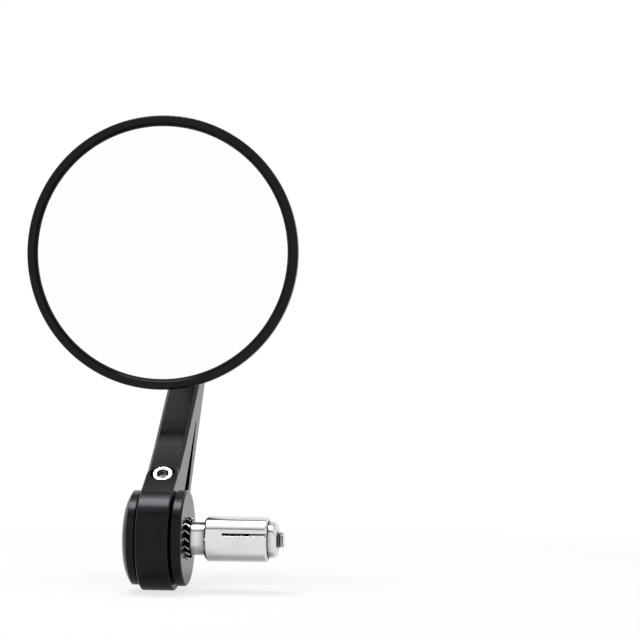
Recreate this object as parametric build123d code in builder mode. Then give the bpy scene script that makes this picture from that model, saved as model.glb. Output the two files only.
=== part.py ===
from build123d import *
from math import atan2, cos, degrees, radians, sin, sqrt, tan
import os

# Round bar end mirror: an expander that grips inside a handlebar, an arm that clamps on the expander's hub
# and a round convex mirror on a sprung ball joint. All sizes are in millimetres.
# Frame: origin at the centre of the flange's bar-side face, +X along the expander into the bar, +Z up,
# glass facing -Y.

# Clearances
running_gap = 0.05  # play of pieces that turn, slide or seat in each other
side_gap = 0.4  # arm's eye to the flange and to the cap
cone_gap = 0.3  # radial room between the nut's cone and the sleeve's mouth before tightening

# Hub, turned in one piece
flange_dia = 34.4
flange_thickness = 4.0
flange_chamfer = 0.6
drum_dia = 26.5
bolt_hole_dia = 6.6
spigot_dia = 16.0
spigot_length = 2.0

# End cap and the recess for the bolt's head
cap_dia = 34.0
cap_band = 3.0
cap_height = 5.3
cap_dome_bulge = 1.1
cap_edge_chamfer = 0.5
cap_recess_dia = 15.2
cap_recess_depth = 2.8

# Toothed lock washer in the flange's recess
washer_dia = 14.8
washer_root_dia = 12.6
washer_thickness = 2.0
washer_teeth = 16
tooth_root_width = 1.9
tooth_tip_width = 1.0
washer_recess_play = 0.4
washer_recess_depth = 0.3

# Expander sleeve with its neck, slit from the nut's end
neck_dia = 12.1
neck_length = 6.8  # from the flange's face to the sleeve's shoulder
sleeve_dia = 16.2
sleeve_length = 22.6
sleeve_chamfer = 0.7
finger_bore_dia = 10.4
finger_bore_length = 17.5
slit_count = 2
slit_width = 1.0
slit_length = 16.0
slit_angle = 164.4  # of the first slit, from +Y towards +Z

# Cone nut
nut_dia = 13.0
nut_nose = 3.0  # cylinder outside the sleeve
nut_land = 0.3  # between the sleeve's end and the nut's shoulder
nut_cone_length = 6.6
nut_cone_angle = 12.0
nut_round = 1.8
key_play = 0.1
key_sink = 0.75  # keys stay this far below the sleeve's outside

# Expander bolt
bolt_dia = 6.0
bolt_head_dia = 13.6
bolt_head_rim = 1.0
bolt_head_height = 3.4
bolt_head_top_dia = 7.0
bolt_head_bulge = 0.35
bolt_hex = 4.0
bolt_hex_depth = 2.2
bolt_tip = 2.3  # beyond the nut
bolt_chamfer = 0.7

# Arm: eye, tapering lower arm that leans away from the glass, and a blade turned back up
arm_width = 11.7
arm_lean = 46.8  # of the lower arm's middle plane from the vertical
eye_dia = 37.7
arm_half_root = 15.4  # half depth on the hub's axis, if the flats ran straight to it
arm_half_bend = 4.2  # half depth at the bend
bend_distance = 93.0  # hub axis to the bend's back edge
bend_angle = 55.8
bend_round = 5.0
bend_hollow = 3.0
flare_radius = 150.0  # of the hollow in which each flat runs out into the eye
blade_thickness = 9.0
blade_length = 64.5
blade_corner = 4.0
arm_chamfer = 0.4

# Bevels along the arm's edges, as stations of distance, width and depth
# On the blade the distance is from the bend, on the lower arm from the hub's axis
bevel_overlap = 1.5  # cutter's size over the bevel's
blade_bevel = ((3.0, 3.8, 4.6), (blade_length + blade_corner, 1.1, 1.2))
back_bevel = ((88.0, 2.2, 2.0), (36.0, 1.2, 1.2), (19.0, 0.9, 0.9), (13.0, 0.2, 0.2))
front_bevel = ((90.0, 1.15, 1.15), (36.0, 1.15, 1.15), (22.0, 1.15, 1.15), (17.0, 0.2, 0.2))

# Clamp slot, a wedge that opens into the eye through a narrow slit
slot_tip_distance = 59.0
slot_floor_distance = 15.2
slot_front = 0.6
slot_tip_width = 1.2
slot_leg = 5.2  # springing leg behind the slot, at its floor
slot_round = 0.5
slot_slit = 2.0

# Pinch screw across the slot
pinch_distance = 18.7
pinch_dia = 5.0
pinch_head_dia = 8.2
pinch_head_height = 5.0
pinch_head_round = 0.4
pinch_sink = 0.4
pinch_hex = 4.0
pinch_hex_depth = 2.6
pinch_hole_play = 0.25
counterbore_play = 0.35

# Ball stud in the blade
ball_dia = 8.0
stud_inset = 4.8  # stud's axis to the blade's end
ball_standoff = 8.8  # ball's centre to the blade's inner face
stud_neck_dia = 4.0
stud_collar_dia = 8.0
stud_collar = 1.8
stud_shank_dia = 6.0
stud_shank = 7.5
stud_hole_spare = 0.6

# Split ball seat; angles are from the back of the head's axis
seat_wall = 0.95
seat_rear_mouth = 50.0
seat_rear_edge = 78.0
seat_front_edge = 96.0

# Mirror head: rim, eccentric conical back and the boss that holds the ball
rim_dia = 102.0
rim_band = 3.0
rim_front_round = 0.8
rim_lip_chamfer = 0.6
shoulder_inset = 2.0
shoulder_depth = 4.6
shoulder_bulge = 0.35
ball_depth = 18.2  # rim's front plane to the ball's centre
disc_offset_x = -4.9  # ball's axis to the disc's centre
disc_offset_z = -13.2
cone_top_dia = 16.2
cone_top_depth = 14.8
boss_dia = 13.2
boss_reach = 4.4  # beyond the ball's centre
boss_chamfer = 0.6
boss_foot = 1.6
boss_foot_hollow = 0.3
socket_mouth_angle = 48.0
socket_flare = 0.6
ledge_depth = 3.3
ledge_width = 7.6
cavity_top_dia = 26.0
cavity_top_depth = 9.4

# Spring pack that presses the seat on the ball
well_step = 0.2  # spring well's radius over the socket's
cup_play = 0.1
cup_height = 3.9
spring_height = 2.4
spring_thickness = 0.5
spring_bore_dia = 5.2
spring_play = 0.2
retainer_dia = 24.0
retainer_thickness = 1.4
retainer_bore_dia = 3.0
retainer_screw_circle = 18.4
retainer_screw_count = 3
retainer_screw_dia = 2.5
retainer_screw_reach = 3.0
retainer_screw_head_dia = 4.5
retainer_screw_head = 1.4
retainer_screw_hex = 1.5
retainer_screw_hex_depth = 0.8

# Convex glass, its edge gasket and its bonding pad
glass_dia = 94.0
glass_radius = 1200.0
glass_thickness = 1.8
glass_recess = 0.2  # rim's front plane to the glass's crown
gasket_thickness = 0.5
gasket_front = 0.9
pad_width = 6.4
pad_inset = 0.6

# Places along the hub's axis
eye_x = -(flange_thickness + side_gap + arm_width / 2)
cap_x = -(flange_thickness + 2 * side_gap + arm_width)
dome_x = cap_x - cap_height
head_seat_x = dome_x + cap_recess_depth
neck_x = washer_thickness - washer_recess_depth
sleeve_x = neck_length
sleeve_end_x = sleeve_x + sleeve_length
nut_shoulder_x = sleeve_end_x + nut_land
nut_end_x = nut_shoulder_x + nut_nose
bolt_end_x = nut_end_x + bolt_tip
cone_slope = tan(radians(nut_cone_angle))

# Arm plane: local x points out of the arm's back, local y runs up the lower arm
back_dir = Vector(0, cos(radians(arm_lean)), -sin(radians(arm_lean)))
arm_plane = Plane(origin=(eye_x, 0, 0), x_dir=back_dir, z_dir=(1, 0, 0))
arm_dir = arm_plane.y_dir
arm_taper = (arm_half_root - arm_half_bend) / bend_distance
flare_slope = sqrt(1 + arm_taper**2)
flare_span = eye_dia / 2 + flare_radius
flare_rise = arm_half_root + flare_radius * flare_slope
flare_reach = sqrt((flare_span * flare_slope) ** 2 - flare_rise**2)
flare_centre_y = (flare_rise * arm_taper + flare_reach) / flare_slope**2
flare_centre_x = flare_rise - arm_taper * flare_centre_y
flare_end = flare_centre_y - flare_radius * arm_taper / flare_slope
blade_sin = sin(radians(bend_angle))
blade_cos = cos(radians(bend_angle))
blade_dir = arm_dir * blade_cos - back_dir * blade_sin
blade_out = back_dir * blade_cos + arm_dir * blade_sin
bend_point = arm_plane.from_local_coords(Vector(arm_half_bend, bend_distance, 0))

# Ball joint and mirror, each with its axis along Y
ball_distance = blade_length - stud_inset
ball = bend_point + blade_dir * ball_distance - blade_out * (blade_thickness + ball_standoff)
disc = Vector(ball.X + disc_offset_x, ball.Y - ball_depth, ball.Z + disc_offset_z)
ball_axis = Axis(ball, (0, 1, 0))
disc_axis = Axis(disc, (0, 1, 0))
stud_axis = Axis(ball, blade_out)
ball_section = Plane(origin=ball, x_dir=(1, 0, 0), z_dir=(0, 0, 1))
disc_section = Plane(origin=disc, x_dir=(1, 0, 0), z_dir=(0, 0, 1))
stud_section = Plane(origin=ball, x_dir=(1, 0, 0), z_dir=Vector(1, 0, 0).cross(blade_out))
disc_plane = Plane(origin=disc, x_dir=(1, 0, 0), z_dir=(0, 1, 0))
ball_plane = Plane(origin=(ball.X, disc.Y, ball.Z), x_dir=(1, 0, 0), z_dir=(0, 1, 0))

# Radii and depths that several pieces share
ball_r = ball_dia / 2
seat_inner_r = ball_r + running_gap
seat_outer_r = seat_inner_r + seat_wall
socket_r = seat_outer_r + running_gap
spring_well_r = socket_r + well_step
retainer_y = cavity_top_depth - ball_depth
cup_y = retainer_y + spring_height
glass_r = glass_dia / 2
recess_r = glass_r + gasket_thickness + 2 * running_gap
rim_r = rim_dia / 2
shoulder_r = rim_r - shoulder_inset
glass_back_radius = glass_radius - glass_thickness
glass_back_crown = glass_recess + glass_thickness


def arm_half(distance):
    """Half depth of the lower arm at a distance from the hub's axis, in the flare or on the flats."""
    if distance < flare_end:
        return flare_centre_x - sqrt(flare_radius**2 - (flare_centre_y - distance) ** 2)
    return arm_half_root - arm_taper * distance


def polar(radius, angle):
    """Point of a section through the ball, by its angle from the back of the head's axis."""
    return (radius * sin(radians(angle)), radius * cos(radians(angle)))


def crown(radius, depth, distance):
    """Point of a spherical glass face whose crown lies at the given depth."""
    return (distance, depth + radius - sqrt(radius**2 - distance**2))


def bulged(start, end, bulge):
    """Middle point of an arc from start to end that stands out to the left by bulge."""
    along = Vector(*end) - Vector(*start)
    return (Vector(*start) + Vector(*end)) / 2 + Vector(-along.Y, along.X).normalized() * bulge


def back_section(distance):
    """Section plane across the lower arm's back face at a distance from the hub's axis."""
    origin = arm_plane.from_local_coords(Vector(arm_half(distance), distance, 0))
    return Plane(origin=origin, x_dir=(1, 0, 0), z_dir=arm_dir - back_dir * arm_taper)


def front_section(distance):
    """Section plane across the lower arm's front face at a distance from the hub's axis."""
    origin = arm_plane.from_local_coords(Vector(-arm_half(distance), distance, 0))
    return Plane(origin=origin, x_dir=(1, 0, 0), z_dir=-arm_dir - back_dir * arm_taper)


def blade_section(distance):
    """Section plane across the blade's back face at a distance from the bend."""
    return Plane(origin=bend_point + blade_dir * distance, x_dir=(1, 0, 0), z_dir=blade_dir)


def edge_bevels(section, stations):
    """Cutter for the bevels along both edges of one of the arm's faces, through its stations."""
    with BuildPart() as cutter:
        for distance, width, depth in stations:
            left = arm_width / 2 - width * bevel_overlap
            right = arm_width / 2 + width * (bevel_overlap - 1)
            top = depth * (bevel_overlap - 1)
            with BuildSketch(section(distance)):
                with BuildLine():
                    Polyline((left, top), (right, top), (right, -depth * bevel_overlap), close=True)
                make_face()
        loft(ruled=True)
        mirror(about=Plane.YZ.offset(eye_x))
    return cutter.part


def seat_shell(first, last):
    """Spherical shell round the ball between two angles from the back of the head's axis."""
    middle = (first + last) / 2
    with BuildPart() as shell:
        with BuildSketch(ball_section):
            with BuildLine():
                ThreePointArc(
                    polar(seat_outer_r, first), polar(seat_outer_r, middle), polar(seat_outer_r, last)
                )
                Line(polar(seat_outer_r, last), polar(seat_inner_r, last))
                ThreePointArc(
                    polar(seat_inner_r, last), polar(seat_inner_r, middle), polar(seat_inner_r, first)
                )
                Line(polar(seat_inner_r, first), polar(seat_outer_r, first))
            make_face()
        revolve(axis=ball_axis)
    return shell.part


# Hub: flange against the bar's end and the drum that carries the arm's eye
with BuildPart() as hub:
    spigot_floor_x = cap_x + spigot_length + running_gap
    washer_recess_r = washer_dia / 2 + washer_recess_play
    with BuildSketch(Plane.XY):
        with BuildLine():
            Polyline(
                (spigot_floor_x, bolt_hole_dia / 2),
                (spigot_floor_x, spigot_dia / 2 + running_gap),
                (cap_x, spigot_dia / 2 + running_gap),
                (cap_x, drum_dia / 2),
                (-flange_thickness, drum_dia / 2),
                (-flange_thickness, flange_dia / 2),
                (0, flange_dia / 2),
                (0, washer_recess_r),
                (-washer_recess_depth, washer_recess_r),
                (-washer_recess_depth, bolt_hole_dia / 2),
                close=True,
            )
        make_face()
    revolve(axis=Axis.X)
    chamfer(hub.edges().filter_by(GeomType.CIRCLE).group_by(SortBy.RADIUS)[-1], flange_chamfer)
hub.part.label = "hub"

# End cap: domed, with a spigot in the hub and a recess for the bolt's head
with BuildPart() as end_cap:
    dome_start = (cap_x - cap_band, cap_dia / 2)
    dome_end = (dome_x, cap_recess_dia / 2)
    with BuildSketch(Plane.XY):
        with BuildLine():
            Polyline(
                (head_seat_x, bolt_hole_dia / 2),
                (cap_x + spigot_length, bolt_hole_dia / 2),
                (cap_x + spigot_length, spigot_dia / 2),
                (cap_x, spigot_dia / 2),
                (cap_x, cap_dia / 2 - cap_edge_chamfer),
                (cap_x - cap_edge_chamfer, cap_dia / 2),
                dome_start,
            )
            ThreePointArc(dome_start, bulged(dome_end, dome_start, cap_dome_bulge), dome_end)
            Polyline(dome_end, (head_seat_x, cap_recess_dia / 2), (head_seat_x, bolt_hole_dia / 2))
        make_face()
    revolve(axis=Axis.X)
end_cap.part.label = "end_cap"

# Lock washer: flat ring with outer teeth
with BuildPart() as lock_washer:
    root_r = washer_root_dia / 2
    tip_r = washer_dia / 2
    with BuildSketch(Plane.YZ.offset(-washer_recess_depth)):
        Circle(root_r)
        with PolarLocations(0, washer_teeth):
            Polygon(
                (bolt_hole_dia / 2, -tooth_root_width / 2),
                (root_r, -tooth_root_width / 2),
                (tip_r, -tooth_tip_width / 2),
                (tip_r, tooth_tip_width / 2),
                (root_r, tooth_root_width / 2),
                (bolt_hole_dia / 2, tooth_root_width / 2),
                align=None,
            )
        Circle(bolt_hole_dia / 2, mode=Mode.SUBTRACT)
    extrude(amount=washer_thickness)
lock_washer.part.label = "lock_washer"

# Expander sleeve: neck, shoulder and slit fingers with a conical mouth
with BuildPart() as expander_sleeve:
    mouth_r = nut_dia / 2 - nut_land * cone_slope + cone_gap
    mouth_x = sleeve_end_x - (mouth_r - finger_bore_dia / 2) / cone_slope
    bore_x = sleeve_end_x - finger_bore_length
    with BuildSketch(Plane.XY):
        with BuildLine():
            Polyline(
                (neck_x, bolt_hole_dia / 2),
                (neck_x, neck_dia / 2),
                (sleeve_x, neck_dia / 2),
                (sleeve_x, sleeve_dia / 2),
                (sleeve_end_x, sleeve_dia / 2),
                (sleeve_end_x, mouth_r),
                (mouth_x, finger_bore_dia / 2),
                (bore_x, finger_bore_dia / 2),
                (bore_x, bolt_hole_dia / 2),
                close=True,
            )
        make_face()
    revolve(axis=Axis.X)
    chamfer(expander_sleeve.edges().filter_by(GeomType.CIRCLE).group_by(SortBy.RADIUS)[-1], sleeve_chamfer)
    with BuildSketch(Plane.YZ.offset(sleeve_end_x - slit_length)):
        with PolarLocations(sleeve_dia / 2, slit_count, start_angle=slit_angle):
            Rectangle(sleeve_dia / 2, slit_width)
    extrude(amount=slit_length + nut_land, mode=Mode.SUBTRACT)
expander_sleeve.part.label = "expander_sleeve"

# Cone nut: two keys in the sleeve's slits keep it from turning
with BuildPart() as cone_nut:
    nut_start_x = nut_shoulder_x - nut_cone_length
    nut_small_r = nut_dia / 2 - nut_cone_length * cone_slope
    nut_bore_r = bolt_dia / 2 + running_gap
    key_inner_r = (nut_bore_r + nut_small_r) / 2
    key_outer_r = sleeve_dia / 2 - key_sink
    with BuildSketch(Plane.XY):
        with BuildLine():
            Polyline(
                (nut_start_x, nut_bore_r),
                (nut_start_x, nut_small_r),
                (nut_shoulder_x, nut_dia / 2),
                (nut_end_x, nut_dia / 2),
                (nut_end_x, nut_bore_r),
                close=True,
            )
        make_face()
    revolve(axis=Axis.X)
    fillet(cone_nut.edges().group_by(Axis.X)[-1].sort_by(SortBy.RADIUS)[-1], nut_round)
    with BuildSketch(Plane.YZ.offset(nut_start_x)):
        with PolarLocations((key_inner_r + key_outer_r) / 2, 2, start_angle=slit_angle):
            Rectangle(key_outer_r - key_inner_r, slit_width - 2 * key_play)
    extrude(amount=nut_cone_length - nut_land)
cone_nut.part.label = "cone_nut"

# Expander bolt: broad button head with a hex socket
with BuildPart() as expander_bolt:
    under_head_x = head_seat_x - running_gap
    rim_x = under_head_x - bolt_head_rim
    top_x = under_head_x - bolt_head_height
    head_rim = (rim_x, bolt_head_dia / 2)
    head_top = (top_x, bolt_head_top_dia / 2)
    with BuildSketch(Plane.XY):
        with BuildLine():
            Polyline(
                (top_x, 0),
                (bolt_end_x, 0),
                (bolt_end_x, bolt_dia / 2 - bolt_chamfer),
                (bolt_end_x - bolt_chamfer, bolt_dia / 2),
                (under_head_x, bolt_dia / 2),
                (under_head_x, bolt_head_dia / 2),
                head_rim,
            )
            ThreePointArc(head_rim, bulged(head_top, head_rim, bolt_head_bulge), head_top)
            Line(head_top, (top_x, 0))
        make_face()
    revolve(axis=Axis.X)
    with BuildSketch(Plane.YZ.offset(top_x)):
        RegularPolygon(bolt_hex / 2, 6, major_radius=False)
    extrude(amount=bolt_hex_depth, mode=Mode.SUBTRACT)
expander_bolt.part.label = "expander_bolt"

# Arm: one milled piece with its eye, slot, bevelled back and blade
pinch_seat_depth = arm_half(pinch_distance) - pinch_sink - pinch_head_height
pinch_seat = arm_plane.from_local_coords(Vector(-pinch_seat_depth, pinch_distance, 0))
pinch_plane = Plane(origin=pinch_seat, x_dir=(1, 0, 0), z_dir=back_dir)
stud_seat = ball + blade_out * ball_standoff
blade_bevels = edge_bevels(blade_section, blade_bevel)
back_bevels = edge_bevels(back_section, back_bevel)
front_bevels = edge_bevels(front_section, front_bevel)
with BuildPart() as arm:
    hollow_run = 2 * arm_half_bend - blade_thickness * (blade_cos - arm_taper * blade_sin)
    hollow_run /= blade_sin + arm_taper * blade_cos
    bend_back = Vector(arm_half_bend, bend_distance)
    along_blade = Vector(-blade_sin, blade_cos)
    across_blade = Vector(blade_cos, blade_sin) * blade_thickness
    with BuildSketch(arm_plane) as outline:
        Circle(eye_dia / 2)
        with BuildLine():
            Polyline(
                (-arm_half_root, 0),
                bend_back - across_blade + along_blade * hollow_run,
                bend_back - across_blade + along_blade * blade_length,
                bend_back + along_blade * blade_length,
                bend_back,
                (arm_half_root, 0),
                close=True,
            )
        make_face()
        creases = outline.vertices().filter_by_position(Axis.Y, running_gap, bend_distance / 2)
        fillet(creases, flare_radius)
        bends = outline.vertices().filter_by_position(Axis.Y, bend_distance / 2, bend_distance + running_gap)
        fillet(bends.sort_by(Axis.X)[0], bend_hollow)
        bends = outline.vertices().filter_by_position(Axis.Y, bend_distance / 2, bend_distance + running_gap)
        fillet(bends.sort_by_distance(bend_back)[0], bend_round)
    extrude(amount=arm_width / 2, both=True)
    fillet(arm.edges().filter_by(stud_axis), blade_corner)
    side_edges = ShapeList(edge for face in arm.faces().filter_by(Axis.X) for edge in face.edges())
    chamfer([edge for edge in side_edges if edge not in side_edges.filter_by(stud_axis)], arm_chamfer)
    add(blade_bevels, mode=Mode.SUBTRACT)
    add(back_bevels, mode=Mode.SUBTRACT)
    add(front_bevels, mode=Mode.SUBTRACT)
    with BuildSketch(arm_plane):
        Circle(drum_dia / 2 + running_gap)
    extrude(amount=arm_width, both=True, mode=Mode.SUBTRACT)
    with BuildSketch(arm_plane) as slot:
        with BuildLine():
            Polyline(
                (slot_front, slot_floor_distance),
                (arm_half(slot_floor_distance) - slot_leg, slot_floor_distance),
                (slot_tip_width / 2, slot_tip_distance),
                (-slot_tip_width / 2, slot_tip_distance),
                close=True,
            )
        make_face()
        fillet(slot.vertices(), slot_round)
    extrude(amount=arm_width, both=True, mode=Mode.SUBTRACT)
    with BuildSketch(arm_plane):
        with Locations((slot_front + slot_round + slot_slit / 2, slot_floor_distance)):
            Rectangle(slot_slit, drum_dia / 2)
    extrude(amount=arm_width, both=True, mode=Mode.SUBTRACT)
    with BuildSketch(pinch_plane):
        Circle(pinch_head_dia / 2 + counterbore_play)
    extrude(amount=-2 * pinch_head_height, mode=Mode.SUBTRACT)
    with BuildSketch(pinch_plane):
        Circle(pinch_dia / 2 + pinch_hole_play)
    extrude(amount=slot_front + slot_round + pinch_seat_depth, mode=Mode.SUBTRACT)
    with BuildSketch(pinch_plane):
        Circle(pinch_dia / 2 + running_gap)
    extrude(amount=2 * arm_half_root, mode=Mode.SUBTRACT)
    with BuildSketch(Plane(origin=stud_seat, x_dir=(1, 0, 0), z_dir=blade_out)):
        Circle(stud_shank_dia / 2 + running_gap)
    extrude(amount=stud_shank + stud_hole_spare, mode=Mode.SUBTRACT)
arm.part.label = "arm"

# Pinch screw: socket head in the arm's front, thread in the leg behind the slot
with BuildPart() as pinch_screw:
    with BuildSketch(pinch_plane):
        Circle(pinch_head_dia / 2)
    extrude(amount=-pinch_head_height)
    fillet(pinch_screw.edges().group_by(Axis(ball, back_dir))[0], pinch_head_round)
    with BuildSketch(pinch_plane):
        Circle(pinch_dia / 2)
    extrude(amount=pinch_seat_depth + arm_half(pinch_distance) - pinch_sink)
    with BuildSketch(pinch_plane.offset(-pinch_head_height)):
        RegularPolygon(pinch_hex / 2, 6, major_radius=False)
    extrude(amount=pinch_hex_depth, mode=Mode.SUBTRACT)
pinch_screw.part.label = "pinch_screw"

# Ball stud: ball, neck, collar on the blade and a shank pressed into it
with BuildPart() as ball_stud:
    neck_r = stud_neck_dia / 2
    neck_start = (neck_r, sqrt(ball_r**2 - neck_r**2))
    shank_end = ball_standoff + stud_shank
    with BuildSketch(stud_section):
        with BuildLine():
            ThreePointArc((0, -ball_r), (ball_r, 0), neck_start)
            Polyline(
                neck_start,
                (neck_r, ball_standoff - stud_collar),
                (stud_collar_dia / 2, ball_standoff - stud_collar),
                (stud_collar_dia / 2, ball_standoff),
                (stud_shank_dia / 2, ball_standoff),
                (stud_shank_dia / 2, shank_end),
                (0, shank_end),
                (0, -ball_r),
            )
        make_face()
    revolve(axis=stud_axis)
ball_stud.part.label = "ball_stud"

# Split seat: the rear ring behind the ball's equator and the cup in front of it
with BuildPart() as ball_seat_rear:
    add(seat_shell(seat_rear_mouth, seat_rear_edge))
ball_seat_rear.part.label = "ball_seat_rear"

with BuildPart() as ball_seat_front:
    add(seat_shell(seat_front_edge, 180))
ball_seat_front.part.label = "ball_seat_front"

# Mirror shell: rim, eccentric cone and boss, hollowed for the glass and the ball joint
with BuildPart() as mirror_shell:
    rim_edge = (rim_r, rim_band)
    shoulder_edge = (shoulder_r, shoulder_depth)
    foot_start = (cone_top_dia / 2, cone_top_depth - ball_depth)
    foot_end = (boss_dia / 2, cone_top_depth - ball_depth + boss_foot)
    mouth = polar(socket_r, socket_mouth_angle)
    with BuildSketch(disc_section):
        with BuildLine():
            Line((0, 0), (rim_r - rim_front_round, 0))
            RadiusArc((rim_r - rim_front_round, 0), (rim_r, rim_front_round), -rim_front_round)
            Line((rim_r, rim_front_round), rim_edge)
            ThreePointArc(rim_edge, bulged(shoulder_edge, rim_edge, shoulder_bulge), shoulder_edge)
            Polyline(shoulder_edge, (0, shoulder_depth), (0, 0))
        make_face()
    revolve(axis=disc_axis)
    with BuildSketch(disc_plane.offset(shoulder_depth)):
        Circle(shoulder_r)
    with BuildSketch(ball_plane.offset(cone_top_depth)):
        Circle(cone_top_dia / 2)
    loft(ruled=True)
    with BuildSketch(ball_section):
        with BuildLine():
            Line((0, foot_start[1]), foot_start)
            ThreePointArc(foot_start, bulged(foot_start, foot_end, boss_foot_hollow), foot_end)
            Polyline(
                foot_end,
                (boss_dia / 2, boss_reach - boss_chamfer),
                (boss_dia / 2 - boss_chamfer, boss_reach),
                (0, boss_reach),
                (0, foot_start[1]),
            )
        make_face()
    revolve(axis=ball_axis)
    with BuildSketch(disc_section):
        with BuildLine():
            Polyline(
                (0, -rim_band),
                (recess_r + rim_lip_chamfer + rim_band, -rim_band),
                (recess_r, rim_lip_chamfer),
                (recess_r, ledge_depth),
                (0, ledge_depth),
                close=True,
            )
        make_face()
    revolve(axis=disc_axis, mode=Mode.SUBTRACT)
    with BuildSketch(disc_plane.offset(ledge_depth)):
        Circle(recess_r - ledge_width)
    with BuildSketch(ball_plane.offset(cavity_top_depth)):
        Circle(cavity_top_dia / 2)
    loft(ruled=True, mode=Mode.SUBTRACT)
    with BuildSketch(ball_section):
        with BuildLine():
            Polyline(
                (0, retainer_y - spring_play),
                (spring_well_r, retainer_y - spring_play),
                (spring_well_r, 0),
                (socket_r, 0),
            )
            ThreePointArc((socket_r, 0), polar(socket_r, (90 + socket_mouth_angle) / 2), mouth)
            Polyline(
                mouth,
                (mouth[0] + socket_flare, boss_reach),
                (mouth[0] + socket_flare, 2 * boss_reach),
                (0, 2 * boss_reach),
                (0, retainer_y - spring_play),
            )
        make_face()
    revolve(axis=ball_axis, mode=Mode.SUBTRACT)
    with BuildSketch(ball_plane.offset(cavity_top_depth)):
        with PolarLocations(retainer_screw_circle / 2, retainer_screw_count):
            Circle(retainer_screw_dia / 2 + running_gap)
    extrude(amount=retainer_screw_reach + cone_gap, mode=Mode.SUBTRACT)
mirror_shell.part.label = "mirror_shell"

# Pressure cup: slides in the boss and bears on the front seat
with BuildPart() as pressure_cup:
    cup_r = spring_well_r - cup_play
    cup_rim_y = cup_y + cup_height
    cup_rim = (sqrt(socket_r**2 - cup_rim_y**2), cup_rim_y)
    cup_angle = (180 + degrees(atan2(cup_rim[0], cup_rim[1]))) / 2
    with BuildSketch(ball_section):
        with BuildLine():
            ThreePointArc((0, -socket_r), polar(socket_r, cup_angle), cup_rim)
            Polyline(cup_rim, (cup_r, cup_rim_y), (cup_r, cup_y), (0, cup_y), (0, -socket_r))
        make_face()
    revolve(axis=ball_axis)
pressure_cup.part.label = "pressure_cup"

# Two opposed disc springs between the retainer and the cup
with BuildPart() as seat_spring:
    spring_middle = retainer_y + spring_height / 2
    spring_foot = retainer_y + running_gap
    spring_rim = spring_middle - running_gap / 2
    spring_r = spring_well_r - spring_play
    with BuildSketch(ball_section):
        with BuildLine():
            Polyline(
                (spring_bore_dia / 2, spring_foot),
                (spring_bore_dia / 2, spring_foot + spring_thickness),
                (spring_r, spring_rim),
                (spring_r, spring_rim - spring_thickness),
                close=True,
            )
        make_face()
    revolve(axis=ball_axis)
    mirror(about=Plane(origin=ball + Vector(0, spring_middle, 0), z_dir=(0, 1, 0)))
seat_spring.part.label = "seat_spring"

# Spring retainer: plate across the boss's well
with BuildPart() as spring_retainer:
    with BuildSketch(ball_plane.offset(cavity_top_depth - retainer_thickness)):
        Circle(retainer_dia / 2)
        Circle(retainer_bore_dia / 2, mode=Mode.SUBTRACT)
        with PolarLocations(retainer_screw_circle / 2, retainer_screw_count):
            Circle(retainer_screw_dia / 2 + running_gap, mode=Mode.SUBTRACT)
    extrude(amount=retainer_thickness)
spring_retainer.part.label = "spring_retainer"

# Retainer screws: button heads in front of the plate
with BuildPart() as retainer_screws:
    screw_plane = ball_plane.offset(cavity_top_depth - retainer_thickness)
    with BuildSketch(screw_plane):
        with PolarLocations(retainer_screw_circle / 2, retainer_screw_count):
            Circle(retainer_screw_head_dia / 2)
    extrude(amount=-retainer_screw_head)
    with BuildSketch(screw_plane):
        with PolarLocations(retainer_screw_circle / 2, retainer_screw_count):
            Circle(retainer_screw_dia / 2)
    extrude(amount=retainer_thickness + retainer_screw_reach)
    with BuildSketch(screw_plane.offset(-retainer_screw_head)):
        with PolarLocations(retainer_screw_circle / 2, retainer_screw_count):
            RegularPolygon(retainer_screw_hex / 2, 6, major_radius=False)
    extrude(amount=retainer_screw_hex_depth, mode=Mode.SUBTRACT)
retainer_screws.part.label = "retainer_screws"

# Bonding pad between the glass's back and the shell's ledge
with BuildPart() as adhesive_pad:
    pad_r = glass_r - pad_inset
    pad_front = glass_back_crown + running_gap
    pad_outer = crown(glass_back_radius, pad_front, pad_r)
    pad_middle = crown(glass_back_radius, pad_front, pad_r - pad_width / 2)
    pad_inner = crown(glass_back_radius, pad_front, pad_r - pad_width)
    with BuildSketch(disc_section):
        with BuildLine():
            ThreePointArc(pad_inner, pad_middle, pad_outer)
            Polyline(pad_outer, (pad_outer[0], ledge_depth), (pad_inner[0], ledge_depth), pad_inner)
        make_face()
    revolve(axis=disc_axis)
adhesive_pad.part.label = "adhesive_pad"

# Gasket ring round the glass's edge
with BuildPart() as glass_gasket:
    with BuildSketch(disc_plane.offset(gasket_front)):
        Circle(glass_r + running_gap + gasket_thickness)
        Circle(glass_r + running_gap, mode=Mode.SUBTRACT)
    extrude(amount=ledge_depth - gasket_front)
glass_gasket.part.label = "glass_gasket"

# Mirror glass: convex, of even thickness
with BuildPart() as mirror_glass:
    front_edge = crown(glass_radius, glass_recess, glass_r)
    front_middle = crown(glass_radius, glass_recess, glass_r / 2)
    back_edge = crown(glass_back_radius, glass_back_crown, glass_r)
    back_middle = crown(glass_back_radius, glass_back_crown, glass_r / 2)
    with BuildSketch(disc_section):
        with BuildLine():
            ThreePointArc((0, glass_recess), front_middle, front_edge)
            Line(front_edge, back_edge)
            ThreePointArc(back_edge, back_middle, (0, glass_back_crown))
            Line((0, glass_back_crown), (0, glass_recess))
        make_face()
    revolve(axis=disc_axis)
mirror_glass.part.label = "mirror_glass"

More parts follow.
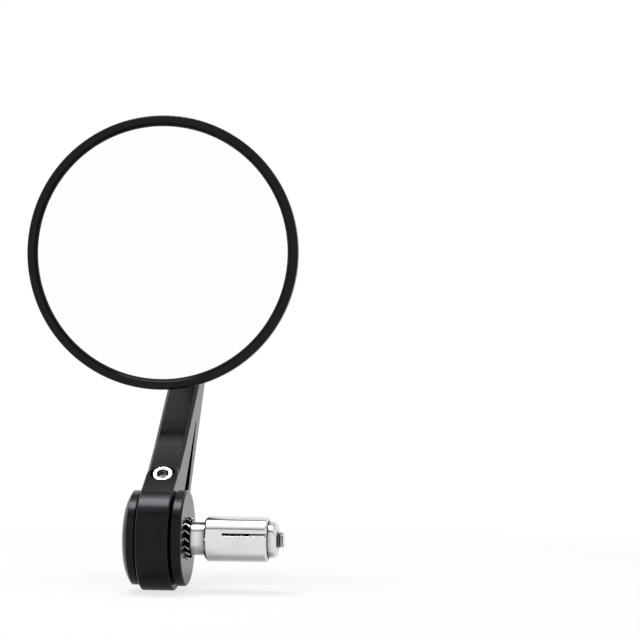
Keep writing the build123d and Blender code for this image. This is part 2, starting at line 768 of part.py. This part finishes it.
os.makedirs("parts", exist_ok=True)
export_step(hub.part, "parts/hub.step")
export_step(end_cap.part, "parts/end_cap.step")
export_step(lock_washer.part, "parts/lock_washer.step")
export_step(expander_sleeve.part, "parts/expander_sleeve.step")
export_step(cone_nut.part, "parts/cone_nut.step")
export_step(expander_bolt.part, "parts/expander_bolt.step")
export_step(arm.part, "parts/arm.step")
export_step(pinch_screw.part, "parts/pinch_screw.step")
export_step(ball_stud.part, "parts/ball_stud.step")
export_step(ball_seat_rear.part, "parts/ball_seat_rear.step")
export_step(ball_seat_front.part, "parts/ball_seat_front.step")
export_step(mirror_shell.part, "parts/mirror_shell.step")
export_step(pressure_cup.part, "parts/pressure_cup.step")
export_step(seat_spring.part, "parts/seat_spring.step")
export_step(spring_retainer.part, "parts/spring_retainer.step")
export_step(retainer_screws.part, "parts/retainer_screws.step")
export_step(adhesive_pad.part, "parts/adhesive_pad.step")
export_step(glass_gasket.part, "parts/glass_gasket.step")
export_step(mirror_glass.part, "parts/mirror_glass.step")
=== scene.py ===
from math import atan, cos, pi, radians, sin, sqrt, tau

import bmesh
import bpy
from mathutils import Matrix, Vector


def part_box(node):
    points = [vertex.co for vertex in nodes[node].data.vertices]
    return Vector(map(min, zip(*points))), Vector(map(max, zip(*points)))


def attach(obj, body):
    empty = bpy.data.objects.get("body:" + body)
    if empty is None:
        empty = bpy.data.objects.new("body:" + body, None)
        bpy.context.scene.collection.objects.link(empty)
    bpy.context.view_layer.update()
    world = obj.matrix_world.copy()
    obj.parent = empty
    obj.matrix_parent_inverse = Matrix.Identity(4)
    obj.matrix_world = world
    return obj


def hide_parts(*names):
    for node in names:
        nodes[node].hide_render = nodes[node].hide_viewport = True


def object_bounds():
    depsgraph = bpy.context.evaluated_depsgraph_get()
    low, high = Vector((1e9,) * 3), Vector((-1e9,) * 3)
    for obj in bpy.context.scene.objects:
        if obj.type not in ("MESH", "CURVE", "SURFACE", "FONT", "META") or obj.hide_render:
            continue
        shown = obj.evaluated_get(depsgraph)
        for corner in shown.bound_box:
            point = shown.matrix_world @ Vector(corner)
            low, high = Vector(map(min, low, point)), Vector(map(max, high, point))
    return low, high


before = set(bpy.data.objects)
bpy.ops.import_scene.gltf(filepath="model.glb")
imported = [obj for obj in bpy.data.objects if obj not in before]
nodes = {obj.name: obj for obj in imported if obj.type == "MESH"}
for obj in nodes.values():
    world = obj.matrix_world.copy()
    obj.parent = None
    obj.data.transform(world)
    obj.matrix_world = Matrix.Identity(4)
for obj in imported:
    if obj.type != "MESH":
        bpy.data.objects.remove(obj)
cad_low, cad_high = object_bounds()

# Lengths are in metres, and colours are linear
MM = 0.001
WHITE = (1, 1, 1, 1)

# Camera, from where the photograph looks at the object
image_size = 640
sensor_width = 36.0
view_target = Vector((-5, 20, 70)) * MM
target_pixel = (185.3, 343.3)
view_distance = 900 * MM
view_azimuth = radians(9.5)
view_elevation = radians(0.36)
view_roll = radians(0.5)
pixels_per_mm = 2.71  # at the target

# Studio: a softbox overhead, white walls with dark seams in front of it and behind it, and a pale floor
softbox_size = (0.5, 0.36)
softbox_place = (-0.15, -0.01, 0.95)
softbox_power = 6.2
wall_light = 0.5  # what the walls give to dull surfaces
seam_angles = (radians(58), radians(117))  # from the front horizon over the top
seam_half_width = radians(8)
seam_shade = 0.15
floor_size = 12.0
floor_drop = 0.4 * MM
floor_colour = (0.9, 0.9, 0.9, 1)
floor_rough = 0.9
shadow_seen = 0.25  # share of the floor's shadow that the camera sees
shadow_mirrored = 0.8  # share of it that bright metal mirrors
shadow_reach = (0.05, 0.34)

# Screw threads and sockets
thread_depth = 0.61  # of the pitch
thread_steps = 12  # rings to a turn
thread_flat = 0.12  # share of a turn that is flat at the crest and at the root
socket_lead = 1.0 * MM
lead_margin = 0.05 * MM  # past the hexagon's corners
drill_share = 0.3  # of the hexagon's width, as a radius
drill_tip = 0.1 * MM
drill_depth = 0.6 * MM
screw_segments = 72
sharp_angle = radians(32)

# Expander bolt: button head and a thread at the nut's end
bolt_radius = 3.0 * MM
bolt_pitch = 1.0 * MM
bolt_thread = 14.0 * MM
bolt_head_radius = 6.8 * MM
bolt_head_rim = 1.0 * MM
bolt_head_height = 3.4 * MM
bolt_head_top = 3.5 * MM
bolt_head_bulge = 0.35 * MM
bolt_head_steps = 8
bolt_hex = 4.0 * MM
bolt_hex_depth = 2.2 * MM

# Pinch screw: round socket head in the arm's counterbore, along the arm's depth
arm_lean = radians(46.8)
pinch_radius = 2.5 * MM
pinch_pitch = 0.8 * MM
pinch_thread_start = 10.0 * MM  # from the head's top
pinch_solid_radius = 4.1 * MM  # of the head's solid, and its rounding
pinch_solid_round = 0.4 * MM
pinch_head_radius = 3.85 * MM
pinch_head_height = 5.0 * MM
pinch_head_round = 0.7 * MM
pinch_head_steps = 6
pinch_hex = 4.0 * MM
pinch_hex_depth = 2.1 * MM

# Lock washer: collar with twisted teeth round it, from root to tip
collar_radius = 6.1 * MM
collar_bore = 3.3 * MM
collar_segments = 64
tooth_count = 16
tooth_twist = (radians(14), radians(50))
tooth_width = (2.3 * MM, 2.0 * MM)
tooth_thickness = 0.4 * MM
tooth_steps = 6

# Noise: the range that holds most of its values, and its detail in broad patches and in fine grain
noise_range = (0.3, 0.7)
patch_detail = 3.0
grain_detail = 1.0

# Lines that machining leaves: a lathe's round its axis, and milling's along the arm
fine_lines = 0.22 * MM
coarse_lines = 0.4 * MM
wobble_patch = 4 * MM
wobble_share = 0.15  # of the distance between two lines
streak_width = 0.35 * MM
streak_squeeze = 0.03  # of the noise along the arm
streak_height = 0.4

# Bump's strength and depth, and the radius by which edges look rounded
anodised_finish = (0.3, 0.004 * MM, 0.25 * MM)
metal_finish = (0.3, 0.003 * MM, 0.15 * MM)
bevel_samples = 6

# Black satin anodising
anodised_dark = (0.0034, 0.0031, 0.004)
anodised_pale = (0.0054, 0.0049, 0.0062)
anodised_patch = 9 * MM
anodised_ior = 1.28
anodised_shine = (0.95, 0.84, 1.0, 1)
anodised_rough_patch = 1.5 * MM
turned_rough = (0.15, 0.21)
milled_rough = (0.18, 0.22)
anodised_grain = 0.12 * MM
anodised_grain_height = 0.5

# Bright metals: tint and roughness of each, and what they share
aluminium_look = ((0.76, 0.745, 0.765), (0.1, 0.16))
steel_look = ((0.82, 0.82, 0.83), (0.14, 0.22))
spring_look = ((0.6, 0.6, 0.62), (0.25, 0.35))
metal_patch = 6 * MM
metal_patch_shade = 0.94
metal_rough_patch = 2 * MM
metal_grain = 0.2 * MM
metal_grain_height = 0.3
# Painted shade: how far it reaches, how strongly and how dark bright metal is painted in its hollows
painted_shade_reach = 3 * MM
painted_shade_power = 2.4
painted_shade_level = 0.03
painted_shade_samples = 8

# Washer's steel: near-black painted shade, and bright bare steel at the tips of the teeth
painted_shade_colour = (0.008, 0.008, 0.009)
bare_tip_colour = (0.9, 0.9, 0.91)
bare_tip_width = 0.45 * MM
tip_edge_patch = 0.5 * MM
tip_edge_wander = 0.08 * MM
washer_rough = (0.16, 0.24)
washer_rough_patch = 1 * MM

# Nylon, foam and rubber: dark and pale colour, roughness and size of the grain of each, and what they share
nylon_look = ((0.7, 0.69, 0.65), (0.76, 0.75, 0.71), (0.4, 0.5), 0.3 * MM)
foam_look = ((0.2, 0.2, 0.2), (0.32, 0.32, 0.32), (0.85, 0.95), 0.25 * MM)
rubber_look = ((0.006, 0.006, 0.006), (0.01, 0.01, 0.01), (0.55, 0.7), 0.15 * MM)
dull_patch = 3 * MM
dull_rough_patch = 1 * MM
dull_bump = 0.4
dull_bump_share = 0.1  # of the grain's size
dull_edge = 0.1 * MM

# Shell's lip round the glass, and the specular levels there and on the rest of the shell
lip_width = 1.25 * MM
lip_depth = 0.8 * MM
lip_shine = 0.12
shell_shine = 0.5

# Mirror glass: its convex front and its ground edge
glass_curve = 1200 * MM
silver_colour = (0.99, 0.99, 0.99)
haze_rough = (0.01, 0.03)
haze_patch = 14 * MM
ground_width = 0.03 * MM
ground_colour = (0.28, 0.36, 0.33)
ground_rough = (0.4, 0.5)
ground_patch = 1 * MM

scene = bpy.context.scene


def add(tree, kind, inputs=None, **settings):
    """New node of a tree. An input that is given as a socket is linked to it."""
    made = tree.nodes.new(kind)
    for key, value in settings.items():
        setattr(made, key, value)
    for key, value in (inputs or {}).items():
        if isinstance(value, bpy.types.NodeSocket):
            tree.links.new(value, made.inputs[key])
        else:
            made.inputs[key].default_value = value
    return made


def calc(tree, operation, *values):
    """Result of a Math node."""
    return add(tree, "ShaderNodeMath", dict(enumerate(values)), operation=operation).outputs[0]


def surface(name):
    """New material with its tree, its Principled shader and the object's own coordinates."""
    material = bpy.data.materials.new(name)
    material.use_nodes = True
    tree = material.node_tree
    coords = add(tree, "ShaderNodeTexCoord").outputs["Object"]
    return material, tree, tree.nodes["Principled BSDF"], coords


def noise(tree, coords, size, low, high, detail=patch_detail):
    """Value that wanders between low and high over patches of about the given size."""
    made = add(tree, "ShaderNodeTexNoise", {"Vector": coords, "Scale": 1 / size, "Detail": detail})
    spread = {"From Min": noise_range[0], "From Max": noise_range[1], "To Min": low, "To Max": high}
    return add(tree, "ShaderNodeMapRange", {"Value": made.outputs["Fac"], **spread}).outputs["Result"]


def blend(tree, factor, first, second):
    """Colour between two colours, of which each may be a socket."""
    colours = [c if isinstance(c, bpy.types.NodeSocket) else (*c, 1) for c in (first, second)]
    inputs = {"Fac": factor, "Color1": colours[0], "Color2": colours[1]}
    return add(tree, "ShaderNodeMixRGB", inputs).outputs["Color"]


def from_axis(tree, coords, centre, along):
    """Distance from an axis through centre along X or Y, and the place along it."""
    offset = add(tree, "ShaderNodeVectorMath", {0: coords, 1: centre}, operation="SUBTRACT").outputs[0]
    split = add(tree, "ShaderNodeSeparateXYZ", {0: offset}).outputs
    across = [split[axis] for axis in "XYZ" if axis != along]
    squares = [calc(tree, "MULTIPLY", side, side) for side in across]
    return calc(tree, "SQRT", calc(tree, "ADD", *squares)), split[along]


def tool_lines(tree, coords, centre, along, pitch):
    """Height of the fine lines that a lathe leaves round an axis through centre along X or Y."""
    feed = calc(tree, "ADD", *from_axis(tree, coords, centre, along))
    wobble = noise(tree, coords, wobble_patch, -wobble_share * pitch, wobble_share * pitch)
    turns = calc(tree, "MULTIPLY", calc(tree, "ADD", feed, wobble), tau / pitch)
    return calc(tree, "SINE", turns)


def streaks(tree, coords, lean):
    """Height of the fine lines that milling leaves along the arm."""
    turned = {"Vector": coords, "Rotation": (lean, 0, 0), "Scale": (1, 1, streak_squeeze)}
    along = add(tree, "ShaderNodeMapping", turned).outputs[0]
    return noise(tree, along, streak_width, -streak_height, streak_height)


def finish(tree, shader, height, strength, depth, edge):
    """Bump of the given depth on the shader, over edges that look rounded by a small radius."""
    rounded = add(tree, "ShaderNodeBevel", {"Radius": edge}, samples=bevel_samples).outputs["Normal"]
    bump = {"Height": height, "Strength": strength, "Distance": depth, "Normal": rounded}
    tree.links.new(add(tree, "ShaderNodeBump", bump).outputs["Normal"], shader.inputs["Normal"])


def anodised(name, rough, lines):
    """Black satin anodising. Lines makes the height of what the machining left under it."""
    material, tree, shader, coords = surface(name)
    colour = blend(tree, noise(tree, coords, anodised_patch, 0, 1), anodised_dark, anodised_pale)
    tree.links.new(colour, shader.inputs["Base Color"])
    tree.links.new(noise(tree, coords, anodised_rough_patch, *rough), shader.inputs["Roughness"])
    shader.inputs["IOR"].default_value = anodised_ior
    shader.inputs["Specular Tint"].default_value = anodised_shine
    grain_limits = (-anodised_grain_height, anodised_grain_height)
    grain = noise(tree, coords, anodised_grain, *grain_limits, detail=grain_detail)
    finish(tree, shader, calc(tree, "ADD", grain, lines(tree, coords)), *anodised_finish)
    return material


def painted_shade_steel(name, bare_from):
    """Steel in near-black painted shade, and bright bare steel beyond a distance from the hub's axis."""
    material, tree, shader, coords = surface(name)
    wander = noise(tree, coords, tip_edge_patch, -tip_edge_wander, tip_edge_wander)
    out = calc(tree, "ADD", from_axis(tree, coords, (0, 0, 0), "X")[0], wander)
    # Painted shade: near black inside this distance, bright bare steel beyond it
    tip_mask = calc(tree, "GREATER_THAN", out, bare_from)
    tree.links.new(blend(tree, tip_mask, painted_shade_colour, bare_tip_colour), shader.inputs["Base Color"])
    tree.links.new(noise(tree, coords, washer_rough_patch, *washer_rough), shader.inputs["Roughness"])
    shader.inputs["Metallic"].default_value = 1.0
    return material


def bright_metal(name, tint, rough, lines=None):
    """Bright bare metal with painted shade in its hollows, and lathe lines where it is turned."""
    material, tree, shader, coords = surface(name)
    patches = noise(tree, coords, metal_patch, 0, 1)
    colour = blend(tree, patches, [metal_patch_shade * c for c in tint], tint)
    # Painted shade: the colour goes dark where ambient occlusion finds a hollow
    hollow = {"Distance": painted_shade_reach}
    unshaded_share = add(tree, "ShaderNodeAmbientOcclusion", hollow, samples=painted_shade_samples).outputs["AO"]
    unshaded_share = calc(tree, "POWER", unshaded_share, painted_shade_power)
    colour = blend(tree, unshaded_share, [painted_shade_level * c for c in tint], colour)
    tree.links.new(colour, shader.inputs["Base Color"])
    tree.links.new(noise(tree, coords, metal_rough_patch, *rough), shader.inputs["Roughness"])
    shader.inputs["Metallic"].default_value = 1.0
    height = noise(tree, coords, metal_grain, -metal_grain_height, metal_grain_height, detail=grain_detail)
    if lines:
        height = calc(tree, "ADD", height, lines(tree, coords))
    finish(tree, shader, height, *metal_finish)
    return material


def dull(name, dark, pale, rough, grain):
    """Plastic, rubber or foam with a grain of the given size."""
    material, tree, shader, coords = surface(name)
    colour = blend(tree, noise(tree, coords, dull_patch, 0, 1), dark, pale)
    tree.links.new(colour, shader.inputs["Base Color"])
    tree.links.new(noise(tree, coords, dull_rough_patch, *rough), shader.inputs["Roughness"])
    height = noise(tree, coords, grain, -1, 1)
    finish(tree, shader, height, dull_bump, dull_bump_share * grain, dull_edge)
    return material


def sealed_lip(material, centre, front, radius):
    """Takes most of the shine off the shell's lip round the glass."""
    tree = material.node_tree
    coords = add(tree, "ShaderNodeTexCoord").outputs["Object"]
    out, along = from_axis(tree, coords, centre, "Y")
    behind = calc(tree, "GREATER_THAN", along, front - centre.y + lip_depth)
    bare = calc(tree, "MAXIMUM", behind, calc(tree, "GREATER_THAN", out, radius))
    shine = calc(tree, "MULTIPLY_ADD", bare, shell_shine - lip_shine, lip_shine)
    tree.links.new(shine, tree.nodes["Principled BSDF"].inputs["Specular IOR Level"])


def silvered(name, low, high):
    """Silvered convex glass: mirror in front and behind, pale green and dull on the ground edge."""
    material, tree, shader, coords = surface(name)
    centre = (low + high) / 2
    out, along = from_axis(tree, coords, centre, "Y")
    edge = calc(tree, "GREATER_THAN", out, (high.x - low.x) / 2 - ground_width)
    ball = Vector((centre.x, low.y + glass_curve, centre.z))
    ray = add(tree, "ShaderNodeVectorMath", {0: coords, 1: ball}, operation="SUBTRACT").outputs[0]
    turn = {"vector_type": "NORMAL", "convert_from": "OBJECT", "convert_to": "WORLD"}
    dome = add(tree, "ShaderNodeVectorTransform", {0: ray}, **turn).outputs[0]
    own = add(tree, "ShaderNodeNewGeometry").outputs["Normal"]
    in_front = calc(tree, "LESS_THAN", calc(tree, "ADD", along, edge), 0.0)
    tree.links.new(blend(tree, in_front, own, dome), shader.inputs["Normal"])
    tree.links.new(blend(tree, edge, silver_colour, ground_colour), shader.inputs["Base Color"])
    ground = noise(tree, coords, ground_patch, *ground_rough)
    haze = noise(tree, coords, haze_patch, *haze_rough)
    tree.links.new(calc(tree, "MULTIPLY_ADD", edge, ground, haze), shader.inputs["Roughness"])
    shader.inputs["Metallic"].default_value = 1.0
    return material


def piece_from(mesh, name):
    """Object from a bmesh, smooth but for its sharp edges."""
    bmesh.ops.recalc_face_normals(mesh, faces=mesh.faces)
    made = bpy.data.meshes.new(name)
    mesh.to_mesh(made)
    mesh.free()
    made.shade_smooth()
    made.set_sharp_from_angle(angle=sharp_angle)
    piece = bpy.data.objects.new(name, made)
    scene.collection.objects.link(piece)
    return piece


def add_rings(mesh, rings, segments, hollow=False):
    """Skin along X through rings of (x, radius), where a radius may be a function of the angle.

    Its ends are closed, or in a hollow skin joined to each other.
    """
    angles = [tau * i / segments for i in range(segments)]
    loops = []
    for x, radius in rings:
        radii = [radius(angle) if callable(radius) else radius for angle in angles]
        points = [(x, r * cos(angle), r * sin(angle)) for r, angle in zip(radii, angles)]
        loops.append([mesh.verts.new(point) for point in points])
    pairs = list(zip(loops, loops[1:]))
    if hollow:
        pairs.append((loops[-1], loops[0]))
    else:
        mesh.faces.new(loops[0])
        mesh.faces.new(loops[-1])
    for first, second in pairs:
        for i in range(segments):
            j = (i + 1) % segments
            mesh.faces.new((first[i], first[j], second[j], second[i]))


def hex_socket(top, width, depth):
    """Rings of a hex socket with a drill point and a round lead that opens at top, from its floor up."""

    def side(angle):
        return width / 2 / cos(angle % (pi / 3) - pi / 6)

    floor_x = top + depth
    mouth = width / sqrt(3) + lead_margin
    point = [(floor_x + drill_depth, drill_tip), (floor_x, drill_share * width)]
    return point + [(floor_x, side), (top + socket_lead, side), (top, mouth)]


def thread(start, end, radius, pitch):
    """Rings of a thread whose end is chamfered down to its root."""
    depth = thread_depth * pitch
    count = round((end - start) / pitch * thread_steps)

    def ring(x):
        limit = radius - depth + end - x

        def at(angle):
            flank = abs(2 * ((x / pitch - angle / tau) % 1) - 1)
            cut = min(max((flank - thread_flat) / (1 - 2 * thread_flat), 0), 1)
            return min(radius - depth * cut, limit)

        return at

    places = [start + (end - start) * step / count for step in range(1, count + 1)]
    return [(start, radius)] + [(x, ring(x)) for x in places]


def expander_bolt(steel):
    """Bolt with its button head, hex socket and thread."""
    low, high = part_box("expander_bolt")
    top, end = low.x, high.x
    under_head = top + bolt_head_height
    rings = hex_socket(top, bolt_hex, bolt_hex_depth)
    slope = Vector((bolt_head_height - bolt_head_rim, bolt_head_radius - bolt_head_top))
    out = Vector((-slope.y, slope.x)).normalized()
    for step in range(bolt_head_steps + 1):
        share = step / bolt_head_steps
        # The factor of the bulge is a parabola that is 1 halfway down the slope
        place = slope * share + out * bolt_head_bulge * 4 * share * (1 - share)
        rings.append((top + place.x, bolt_head_top + place.y))
    rings += [(under_head, bolt_head_radius), (under_head, bolt_radius)]
    rings += thread(end - bolt_thread, end, bolt_radius, bolt_pitch)
    mesh = bmesh.new()
    add_rings(mesh, rings, screw_segments)
    bolt = piece_from(mesh, "threaded_bolt")
    bolt.data.materials.append(steel)
    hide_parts("expander_bolt")
    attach(bolt, "bolt")


def pinch_screw(steel):
    """Socket screw across the arm's slot, with its thread."""
    low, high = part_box("pinch_screw")
    lean_cos, lean_sin = cos(arm_lean), sin(arm_lean)
    reach = pinch_solid_radius - pinch_solid_round
    head_y = low.y + pinch_solid_round * (1 - lean_cos) + reach * lean_sin
    head_z = high.z - pinch_solid_round * (1 - lean_sin) - reach * lean_cos
    tip_y = high.y - pinch_radius * lean_sin
    length = (tip_y - head_y) / lean_cos
    rings = hex_socket(0, pinch_hex, pinch_hex_depth)
    flat = pinch_head_radius - pinch_head_round
    for step in range(pinch_head_steps + 1):
        angle = pi / 2 * step / pinch_head_steps
        rings.append((pinch_head_round * (1 - cos(angle)), flat + pinch_head_round * sin(angle)))
    rings += [(pinch_head_height, pinch_head_radius), (pinch_head_height, pinch_radius)]
    rings += thread(pinch_thread_start, length, pinch_radius, pinch_pitch)
    mesh = bmesh.new()
    add_rings(mesh, rings, screw_segments)
    axis = Vector((0, lean_cos, -lean_sin))
    across = Vector((1, 0, 0))
    place = Matrix((axis, across, axis.cross(across))).transposed().to_4x4()
    place.translation = ((low.x + high.x) / 2, head_y, head_z)
    bmesh.ops.transform(mesh, matrix=place, verts=mesh.verts)
    screw = piece_from(mesh, "threaded_pinch_screw")
    screw.data.materials.append(steel)
    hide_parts("pinch_screw")
    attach(screw, "arm")


def lock_washer():
    """Washer with twisted teeth, bright at their tips and in painted shade elsewhere."""
    low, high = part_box("lock_washer")
    middle = (low.x + high.x) / 2
    tip_radius = (high.y - low.y) / 2
    root_radius = collar_radius - tooth_thickness
    mesh = bmesh.new()
    collar = [(low.x, collar_bore), (low.x, collar_radius), (high.x, collar_radius), (high.x, collar_bore)]
    add_rings(mesh, collar, collar_segments, hollow=True)
    corners = ((-1, -1), (1, -1), (1, 1), (-1, 1))
    for tooth in range(tooth_count):
        angle = tau * tooth / tooth_count
        outward = Vector((0, cos(angle), sin(angle)))
        around = Vector((0, -sin(angle), cos(angle)))
        loops = []
        for step in range(tooth_steps + 1):
            share = step / tooth_steps
            twist = tooth_twist[0] + (tooth_twist[1] - tooth_twist[0]) * share
            width = tooth_width[0] + (tooth_width[1] - tooth_width[0]) * share
            wide = (around * cos(twist) + Vector((sin(twist), 0, 0))) * width / 2
            thick = (Vector((cos(twist), 0, 0)) - around * sin(twist)) * tooth_thickness / 2
            centre = Vector((middle, 0, 0)) + outward * (root_radius + (tip_radius - root_radius) * share)
            loops.append([mesh.verts.new(centre + wide * a + thick * b) for a, b in corners])
        mesh.faces.new(loops[0])
        mesh.faces.new(loops[-1])
        for first, second in zip(loops, loops[1:]):
            for i in range(len(corners)):
                j = (i + 1) % len(corners)
                mesh.faces.new((first[i], first[j], second[j], second[i]))
    washer = piece_from(mesh, "toothed_washer")
    # Painted shade over the washer, with bright steel only at the tips of its teeth
    washer.data.materials.append(painted_shade_steel("steel_washer", tip_radius - bare_tip_width))
    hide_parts("lock_washer")
    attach(washer, "bar_mount")


def dress(material, *names):
    """Gives CAD nodes their material."""
    for name in names:
        nodes[name].data.materials.clear()
        nodes[name].data.materials.append(material)


def dress_nodes(steel):
    """Materials of all the CAD nodes that no new piece replaces."""
    glass_low, glass_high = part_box("mirror_glass")
    disc = (glass_low + glass_high) / 2
    glass_radius = (glass_high.x - glass_low.x) / 2

    def hub_lines(tree, coords):
        return tool_lines(tree, coords, (0, 0, 0), "X", coarse_lines)

    def shell_lines(tree, coords):
        return tool_lines(tree, coords, disc, "Y", coarse_lines)

    def arm_lines(tree, coords):
        return streaks(tree, coords, arm_lean)

    def sleeve_lines(tree, coords):
        return tool_lines(tree, coords, (0, 0, 0), "X", fine_lines)

    shell = anodised("anodised_shell", turned_rough, shell_lines)
    sealed_lip(shell, disc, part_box("mirror_shell")[0].y, glass_radius + lip_width)
    dress(shell, "mirror_shell")
    dress(anodised("anodised_turned", turned_rough, hub_lines), "hub", "end_cap")
    dress(anodised("anodised_milled", milled_rough, arm_lines), "arm")
    aluminium = bright_metal("aluminium_turned", *aluminium_look, lines=sleeve_lines)
    dress(aluminium, "expander_sleeve", "cone_nut")
    dress(steel, "ball_stud", "retainer_screws")
    dress(bright_metal("steel_spring", *spring_look), "pressure_cup", "seat_spring", "spring_retainer")
    dress(dull("seat_nylon", *nylon_look), "ball_seat_rear", "ball_seat_front")
    dress(dull("pad_foam", *foam_look), "adhesive_pad")
    dress(dull("gasket_rubber", *rubber_look), "glass_gasket")
    dress(silvered("silvered_glass", glass_low, glass_high), "mirror_glass")


def seen_directly(tree):
    """One for what the camera, a mirror or a glass sees, and zero for light on dull surfaces."""
    path = add(tree, "ShaderNodeLightPath").outputs
    seen = calc(tree, "MAXIMUM", path["Is Camera Ray"], path["Is Glossy Ray"])
    return calc(tree, "MAXIMUM", seen, path["Is Transmission Ray"])


def studio_world():
    """White walls. Dull surfaces get less light from them than the camera and bright metal see."""
    world = bpy.data.worlds.new("studio")
    scene.world = world
    world.use_nodes = True
    tree = world.node_tree
    direction = add(tree, "ShaderNodeTexCoord").outputs["Generated"]
    split = add(tree, "ShaderNodeSeparateXYZ", {0: direction}).outputs
    over = calc(tree, "ARCTAN2", split["Z"], calc(tree, "MULTIPLY", split["Y"], -1.0))
    white = add(tree, "ShaderNodeLightPath").outputs["Is Camera Ray"]
    seams = 1.0
    for seam in seam_angles:
        away = calc(tree, "ABSOLUTE", calc(tree, "SUBTRACT", over, seam))
        edge = {"Value": away, "From Max": seam_half_width, "To Min": seam_shade}
        ramp = add(tree, "ShaderNodeMapRange", edge, interpolation_type="SMOOTHSTEP").outputs["Result"]
        seams = calc(tree, "MULTIPLY", seams, ramp)
    level = {"Factor": seen_directly(tree), "A": wall_light, "B": calc(tree, "MAXIMUM", seams, white)}
    strength = add(tree, "ShaderNodeMix", level).outputs["Result"]
    tree.links.new(strength, tree.nodes["Background"].inputs["Strength"])
    tree.nodes["Background"].inputs["Color"].default_value = WHITE


def softbox():
    """Large lamp over the object."""
    lamp = bpy.data.lights.new("softbox", "AREA")
    lamp.shape = "RECTANGLE"
    lamp.size, lamp.size_y = softbox_size
    lamp.energy = softbox_power
    piece = bpy.data.objects.new("softbox", lamp)
    piece.location = softbox_place
    scene.collection.objects.link(piece)


def floor():
    """Pale floor that keeps a soft shadow near the object and is white beyond."""
    half = floor_size / 2
    z = cad_low.z - floor_drop
    made = bpy.data.meshes.new("floor")
    corners = [(x, y, z) for x, y in ((-half, -half), (half, -half), (half, half), (-half, half))]
    made.from_pydata(corners, [], [(0, 1, 2, 3)])
    piece = bpy.data.objects.new("floor", made)
    scene.collection.objects.link(piece)
    material, tree, shader, coords = surface("floor_white")
    shader.inputs["Base Color"].default_value = floor_colour
    shader.inputs["Roughness"].default_value = floor_rough
    distance = add(tree, "ShaderNodeVectorMath", {0: coords}, operation="LENGTH").outputs["Value"]
    fade = {"Value": distance, "From Min": shadow_reach[0], "From Max": shadow_reach[1]}
    far = add(tree, "ShaderNodeMapRange", fade, interpolation_type="SMOOTHSTEP").outputs["Result"]
    by_camera = add(tree, "ShaderNodeLightPath").outputs["Is Camera Ray"]
    lift = calc(tree, "MULTIPLY_ADD", by_camera, shadow_mirrored - shadow_seen, 1 - shadow_mirrored)
    glow = calc(tree, "MULTIPLY", seen_directly(tree), calc(tree, "MAXIMUM", far, lift))
    light = add(tree, "ShaderNodeEmission", {"Color": WHITE, "Strength": 1.0}).outputs[0]
    mixed = add(tree, "ShaderNodeMixShader", {"Fac": glow, 1: shader.outputs[0], 2: light}).outputs[0]
    tree.links.new(mixed, tree.nodes["Material Output"].inputs["Surface"])
    made.materials.append(material)


def camera():
    """Camera that sees the target at its pixel, turned rather than shifted to place it there."""
    focal = pixels_per_mm * view_distance / MM
    level_cos = cos(view_elevation)
    forward_x = -sin(view_azimuth) * level_cos
    forward = Vector((forward_x, cos(view_azimuth) * level_cos, -sin(view_elevation)))
    right = Vector((cos(view_azimuth), sin(view_azimuth), 0))
    level = Matrix((right, right.cross(forward), -forward)).transposed()
    roll = Matrix.Rotation(view_roll, 3, "Z")
    pan = Matrix.Rotation(atan((target_pixel[0] - image_size / 2) / focal), 3, "Y")
    pitch = Matrix.Rotation(atan((target_pixel[1] - image_size / 2) / focal), 3, "X")
    data = bpy.data.cameras.new("photo_camera")
    data.sensor_width = sensor_width
    data.lens = focal * sensor_width / image_size
    piece = bpy.data.objects.new("photo_camera", data)
    facing = (level @ roll @ pan @ pitch).to_4x4()
    piece.matrix_world = Matrix.Translation(view_target - forward * view_distance) @ facing
    scene.collection.objects.link(piece)
    scene.camera = piece


bright_steel = bright_metal("steel_bright", *steel_look)
dress_nodes(bright_steel)
expander_bolt(bright_steel)
pinch_screw(bright_steel)
lock_washer()
studio_world()
softbox()
floor()
camera()
scene.view_settings.view_transform = "Standard"
